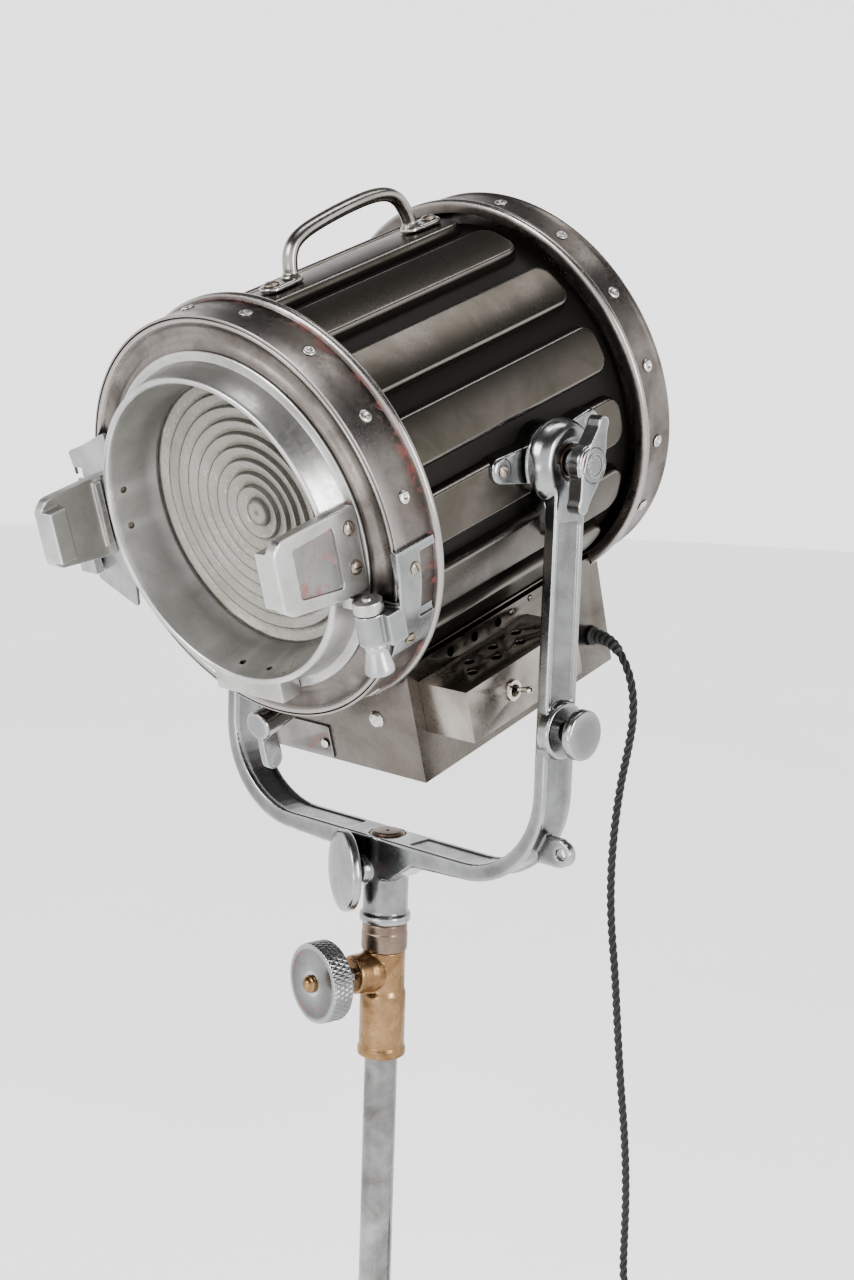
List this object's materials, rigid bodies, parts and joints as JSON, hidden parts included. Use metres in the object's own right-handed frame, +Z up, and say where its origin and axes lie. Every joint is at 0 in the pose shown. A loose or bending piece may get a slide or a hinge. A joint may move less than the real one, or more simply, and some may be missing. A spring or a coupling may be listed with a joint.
{
  "type": "fresnel spotlight",
  "caption": "Vintage studio fresnel spotlight with ribbed barrel, hinged lens door and tilting yoke on a stand riser.",
  "frame": {"origin": "centre of the riser tube's lower end", "axes": "+Z up along the riser and pan axis, +X along the tilt axis towards the tilt lever, the lamp shines towards -Y"},
  "size_m": [0.4468, 0.5473, 1.3298],
  "materials": {
    "polished_steel": "polished",
    "brass": "satin, pitted",
    "aged_bronze": "aged",
    "cast_aluminium": "polished casting with worn red paint in the recesses",
    "dark_steel": "stripped and waxed sheet steel",
    "warm_steel": "brown-grey waxed sheet steel",
    "chrome": "bright plating",
    "ceramic": "unglazed ceramic",
    "lamp_glass": "clear",
    "lens_glass": "pressed borosilicate rings",
    "mirror": "polished",
    "black_rubber": "matt",
    "cord_cloth": "braided cotton"
  },
  "bodies": {
    "stand_top": {"riser_tube": "polished_steel", "adaptor_body": "brass", "adaptor_collar": "aged_bronze", "spigot": "aged_bronze"},
    "clamp_hand_screw": {"clamp_screw": "polished_steel", "clamp_knob": "cast_aluminium", "clamp_nut": "brass"},
    "yoke": {"yoke": "cast_aluminium", "socket_bush": "aged_bronze", "tilt_bushes": "aged_bronze"},
    "pan_lock": {"pan_lock_knob": "cast_aluminium"},
    "arm_knob": {"arm_knob": "cast_aluminium"},
    "tilt_lock": {"tilt_screw": "polished_steel", "tilt_lever": "cast_aluminium"},
    "head": {"barrel": "dark_steel", "front_band": "dark_steel", "rear_band": "dark_steel", "front_cap": "dark_steel", "rear_cover": "dark_steel", "band_rivets": "polished_steel", "top_handle": "cast_aluminium", "handle_screws": "polished_steel", "trunnion_right": "cast_aluminium", "trunnion_left": "cast_aluminium", "trunnion_screws": "polished_steel", "left_pivot_cap": "cast_aluminium", "base_box": "warm_steel", "base_screw": "polished_steel", "focus_plate": "warm_steel", "plate_rivet": "polished_steel", "switch_box": "warm_steel", "toggle_switch": "chrome", "cord_gland": "black_rubber", "focus_bearing": "warm_steel", "focus_rails": "polished_steel", "catch_bracket": "polished_steel", "hinge_bracket": "cast_aluminium", "hinge_pin": "polished_steel", "hinge_screws": "polished_steel"},
    "toggle": {"toggle_lever": "chrome"},
    "focus_drive": {"focus_drum": "polished_steel", "focus_knob": "cast_aluminium"},
    "lamp_carriage": {"focus_carriage": "cast_aluminium", "lamp_holder": "ceramic", "lamp": "lamp_glass", "reflector_bracket": "warm_steel", "reflector": "mirror"},
    "lens_door": {"lens_door": "cast_aluminium", "fresnel_lens": "lens_glass", "lens_retainer": "warm_steel", "accessory_clip_right": "cast_aluminium", "accessory_clip_left": "cast_aluminium", "clip_screws": "polished_steel", "latch_plate": "polished_steel"},
    "door_catch": {"door_catch": "polished_steel"},
    "lead": {"cord": "cord_cloth", "cord_coil": "cord_cloth", "coil_tie": "black_rubber", "plug": "black_rubber", "plug_pins": "brass"}
  },
  "joints": [
    {"name": "pan", "type": "hinge", "parent": "stand_top", "child": "yoke", "pos_m": [0, 0, 0.44], "axis": [0, 0, 1], "range_deg": [-180, 180]},
    {"name": "tilt", "type": "hinge", "parent": "yoke", "child": "head", "pos_m": [0, 0, 0.851], "axis": [1, 0, 0], "range_deg": [-40, 40]},
    {"name": "clamp_screw_turn", "type": "hinge", "parent": "stand_top", "child": "clamp_hand_screw", "pos_m": [-0.01114, -0.05896, 0.346], "axis": [-0.1857, -0.9826, 0], "range_deg": [0, 360]},
    {"name": "pan_lock_turn", "type": "hinge", "parent": "yoke", "child": "pan_lock", "pos_m": [-0.01859, -0.03542, 0.446], "axis": [-0.4648, -0.8854, 0], "range_deg": [0, 360]},
    {"name": "arm_knob_turn", "type": "hinge", "parent": "yoke", "child": "arm_knob", "pos_m": [0.215, 0, 0.617], "axis": [1, 0, 0], "range_deg": [0, 360]},
    {"name": "tilt_lever_turn", "type": "hinge", "parent": "yoke", "child": "tilt_lock", "pos_m": [0.21, 0, 0.851], "axis": [1, 0, 0], "range_deg": [0, 90]},
    {"name": "door_hinge", "type": "hinge", "parent": "head", "child": "lens_door", "pos_m": [0.16, -0.19731, 0.72916], "axis": [0, -0.2874, 0.9578], "range_deg": [0, 110]},
    {"name": "catch_turn", "type": "hinge", "parent": "head", "child": "door_catch", "pos_m": [-0.2, -0.16609, 0.73644], "axis": [0, 0.2874, -0.9578], "range_deg": [0, 35]},
    {"name": "focus_slide", "type": "slide", "parent": "head", "child": "lamp_carriage", "axis": [0, 0.9578, 0.2874], "range_m": [-0.04, 0.04]},
    {"name": "focus_turn", "type": "hinge", "parent": "head", "child": "focus_drive", "pos_m": [-0.038, -0.12308, 0.60005], "axis": [0, 0.9578, 0.2874], "range_deg": [-85, 85]},
    {"name": "toggle_throw", "type": "hinge", "parent": "head", "child": "toggle", "pos_m": [0.153, -0.01063, 0.64631], "axis": [0, 0.9578, 0.2874], "range_deg": [0, 20]},
    {"name": "lead_swing", "type": "hinge", "parent": "head", "child": "lead", "pos_m": [0.1071, 0.16992, 0.66394], "axis": [1, 0, 0], "range_deg": [-40, 40]}
  ],
  "couplings": [
    {"joint": "focus_turn", "follows": "focus_slide", "rad_per_m": 37},
    {"joint": "lead_swing", "follows": "tilt", "ratio": -1}
  ]
}
